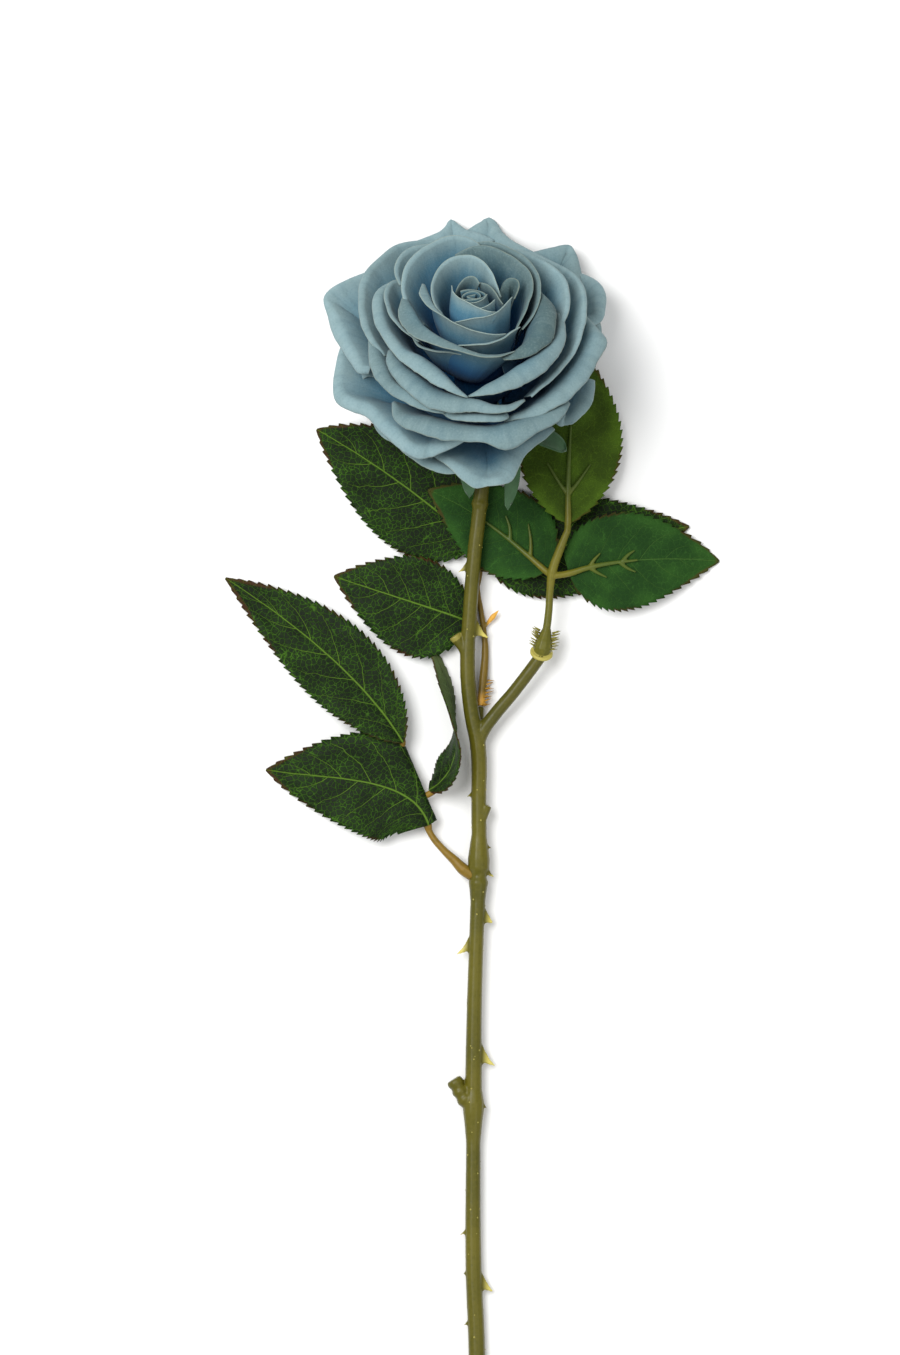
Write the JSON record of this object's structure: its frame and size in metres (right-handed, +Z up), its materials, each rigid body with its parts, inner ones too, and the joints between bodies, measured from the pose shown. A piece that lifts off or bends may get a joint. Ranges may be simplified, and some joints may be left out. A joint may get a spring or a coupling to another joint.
{
  "type": "rose stem",
  "caption": "Single cut rose with a thorny stem, a full layered bloom, a cup with sepals and stalks of serrated leaves, lying on its back.",
  "frame": {"origin": "on the surface that the rose lies on, under the middle of the whole rose", "axes": "+Y from the cut end of the stem to the bloom, +Z up off the surface, +X to the right of a viewer who looks down"},
  "size_m": [0.178, 0.4994, 0.0783],
  "materials": {
    "stem_plastic": "satin olive moulded plastic with pale thorns",
    "stalk_plastic": "satin tan moulded plastic",
    "leaf_fabric": "printed green fabric with pale veins and a reddish cut edge",
    "sepal_fabric": "matte blue-green fabric",
    "petal_fabric": "matte dusty blue fabric, paler on the rims and deeper inside"
  },
  "bodies": {
    "root": {"stem": "stem_plastic", "stalk_a": "stalk_plastic", "stalk_b": "stalk_plastic", "stalk_c": "stalk_plastic", "leaf_a_left": "leaf_fabric", "leaf_a_end": "leaf_fabric", "leaf_a_right": "leaf_fabric", "leaf_b_left": "leaf_fabric", "leaf_b_up": "leaf_fabric", "leaf_b_right": "leaf_fabric", "leaf_c_left": "leaf_fabric", "leaf_c_right": "leaf_fabric", "leaf_c_end": "leaf_fabric", "calyx": "sepal_fabric", "bloom": "petal_fabric"}
  },
  "joints": []
}
